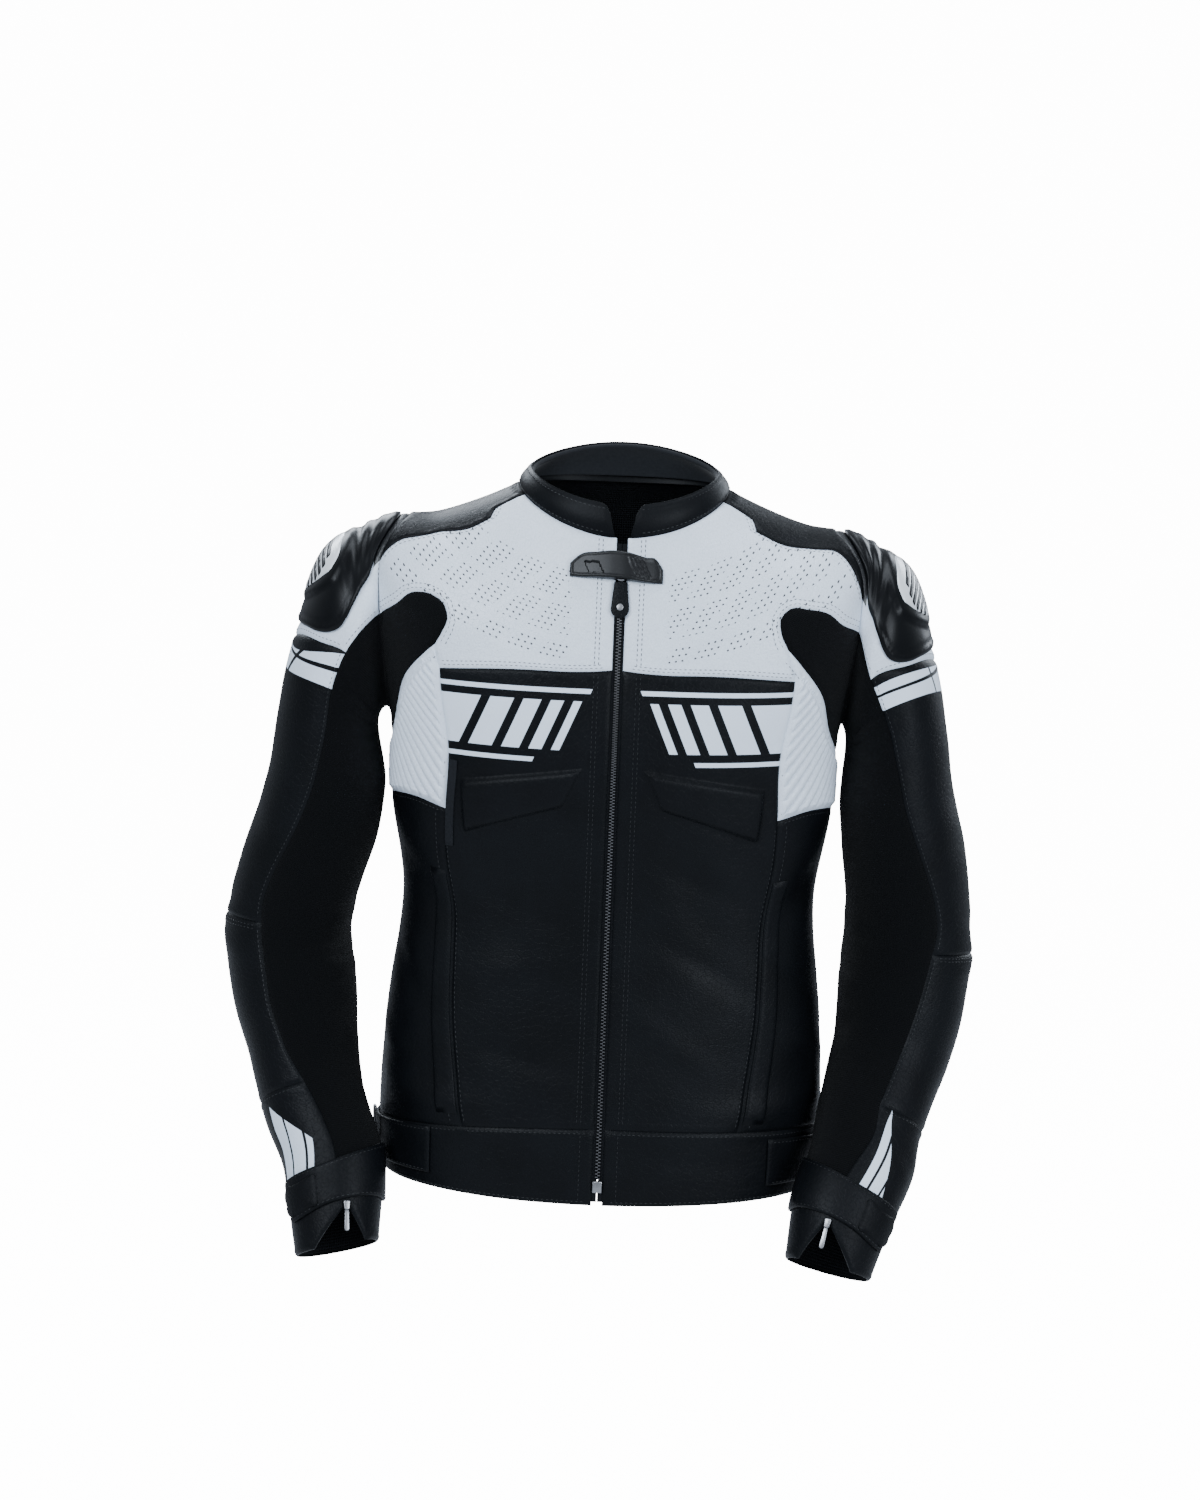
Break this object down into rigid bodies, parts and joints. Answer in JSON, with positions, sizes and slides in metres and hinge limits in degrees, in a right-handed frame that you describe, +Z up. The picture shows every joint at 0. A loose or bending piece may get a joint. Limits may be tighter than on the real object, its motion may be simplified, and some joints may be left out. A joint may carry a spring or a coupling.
{
  "type": "motorcycle jacket",
  "caption": "Black and white leather motorcycle jacket, worn and zipped, with stretch sleeves, ribbed side gussets, moulded shoulder cups, band collar and strapped cuffs.",
  "frame": {"origin": "midway between the two points where the collar seam meets the shoulders, where the wearer's neck carries the jacket", "axes": "+Z up the jacket from hem to collar, -Y out of its front, +X to its right as seen from in front"},
  "size_m": [0.6454, 0.2848, 0.6984],
  "materials": {
    "black_leather": "grained, satin",
    "white_leather": "smooth, satin",
    "stretch_textile": "fine knit, matt",
    "black_rubber": "moulded, satin",
    "white_plastic": "gloss",
    "zip_metal": "satin",
    "zip_tape": "woven, matt"
  },
  "bodies": {
    "jacket": {"back_panel": "black_leather", "back_yoke": "black_leather", "collar": "black_leather", "collar_lining": "stretch_textile", "cuff_band_left": "black_leather", "cuff_band_right": "black_leather", "cuff_panel_left": "black_leather", "cuff_panel_right": "black_leather", "cuff_slider_left": "zip_metal", "cuff_slider_right": "zip_metal", "cuff_strap_left": "black_leather", "cuff_strap_right": "black_leather", "cup_plate_left": "white_plastic", "cup_plate_right": "white_plastic", "forearm_left": "black_leather", "forearm_right": "black_leather", "front_left": "black_leather", "front_right": "black_leather", "pocket_welt_left": "black_leather", "pocket_welt_right": "black_leather", "rib_panel_left": "white_leather", "rib_panel_right": "white_leather", "shoulder_cup_left": "black_rubber", "shoulder_cup_right": "black_rubber", "side_label": "stretch_textile", "side_panel_left": "black_leather", "side_panel_right": "black_leather", "sleeve_cap_left": "white_leather", "sleeve_cap_right": "white_leather", "stretch_sleeve_left": "stretch_textile", "stretch_sleeve_right": "stretch_textile", "throat_tab": "black_rubber", "upper_sleeve_left": "black_leather", "upper_sleeve_right": "black_leather", "waist_buckle_left": "zip_metal", "waist_buckle_right": "zip_metal", "waist_strap_left": "black_leather", "waist_strap_right": "black_leather", "waistband_back": "black_leather", "waistband_left": "black_leather", "waistband_right": "black_leather", "yoke_left": "white_leather", "yoke_right": "white_leather", "zip_chain": "zip_metal", "zip_slider": "zip_metal", "zip_stop": "zip_metal", "zip_tape_left": "zip_tape", "zip_tape_right": "zip_tape"},
    "pull_main": {"zip_pull": "black_leather", "pull_rivet": "zip_metal"},
    "pull_left": {"cuff_pull_left": "zip_metal"},
    "pull_right": {"cuff_pull_right": "zip_metal"}
  },
  "joints": [
    {"name": "main_pull_swing", "type": "hinge", "parent": "jacket", "child": "pull_main", "pos_m": [0, -0.10049, -0.06869], "axis": [1, 0, 0], "range_deg": [-95, 0]},
    {"name": "left_cuff_pull_swing", "type": "hinge", "parent": "jacket", "child": "pull_left", "pos_m": [-0.21138, -0.12946, -0.61195], "axis": [-0.9726, -0.228, 0.0444], "range_deg": [0, 80]},
    {"name": "right_cuff_pull_swing", "type": "hinge", "parent": "jacket", "child": "pull_right", "pos_m": [0.19433, -0.15633, -0.60415], "axis": [-0.9597, 0.2445, 0.1386], "range_deg": [0, 80]}
  ]
}
